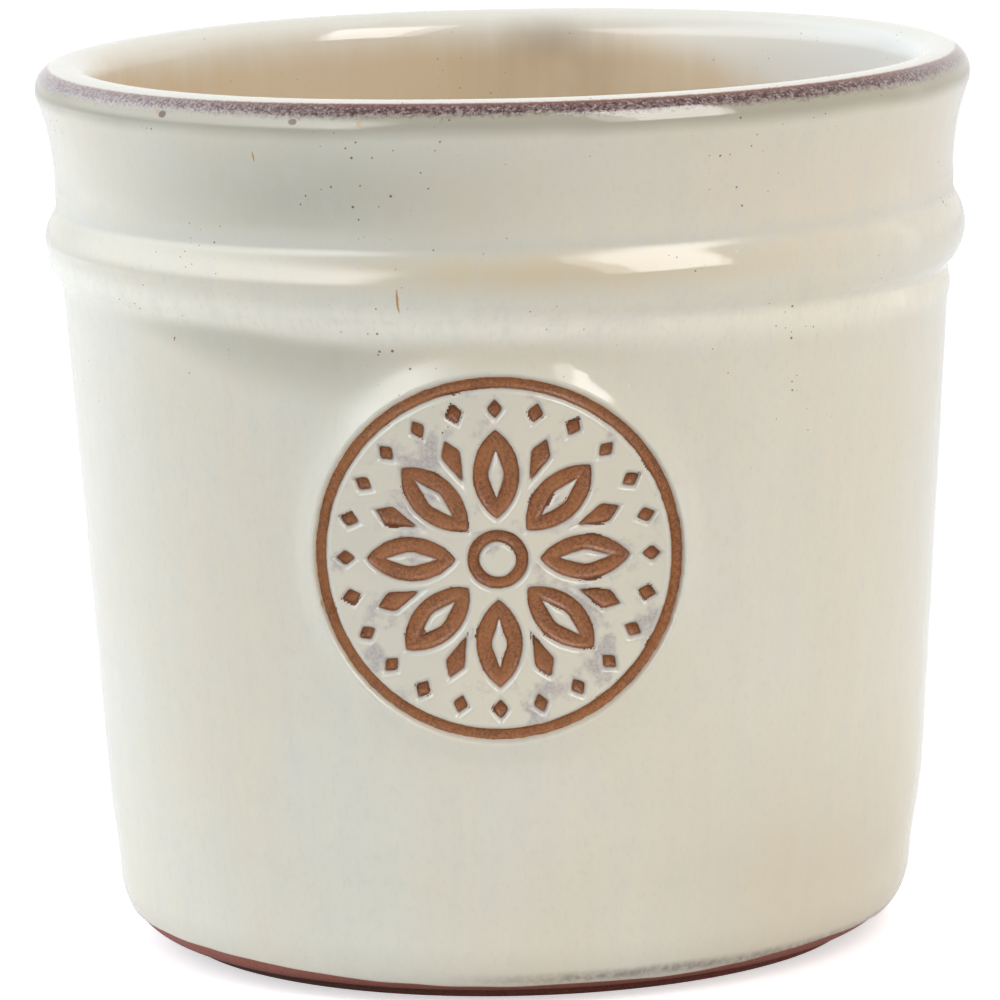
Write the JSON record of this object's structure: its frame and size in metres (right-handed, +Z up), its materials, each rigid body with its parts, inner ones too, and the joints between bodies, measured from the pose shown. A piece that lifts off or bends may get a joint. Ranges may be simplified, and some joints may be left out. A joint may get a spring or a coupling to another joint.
{
  "type": "glazed planter pot",
  "caption": "Round glazed clay planter with a rolled lip, a raised bead, a tapered wall, a stamped round seal on the front, a bare foot ring and a drain hole.",
  "frame": {"origin": "centre of the foot ring, on the ground plane", "axes": "+Z up the axis of the pot, -Y the front with the seal"},
  "size_m": [0.3, 0.3, 0.285],
  "materials": {
    "clay": "bare fired red clay, matt and gritty",
    "outer_glaze": "glossy cream glaze, breaking to brown on the lip",
    "inner_glaze": "glossy warm cream liner glaze",
    "seal_glaze": "glossy cream glaze with purple-grey mottling",
    "stain": "brown iron wash, matt with a few glossy spots"
  },
  "bodies": {
    "root": {"clay_body": "clay", "outer_glaze": "outer_glaze", "inner_glaze": "inner_glaze", "seal_field_glaze": "seal_glaze", "seal_stain": "stain"}
  },
  "joints": []
}
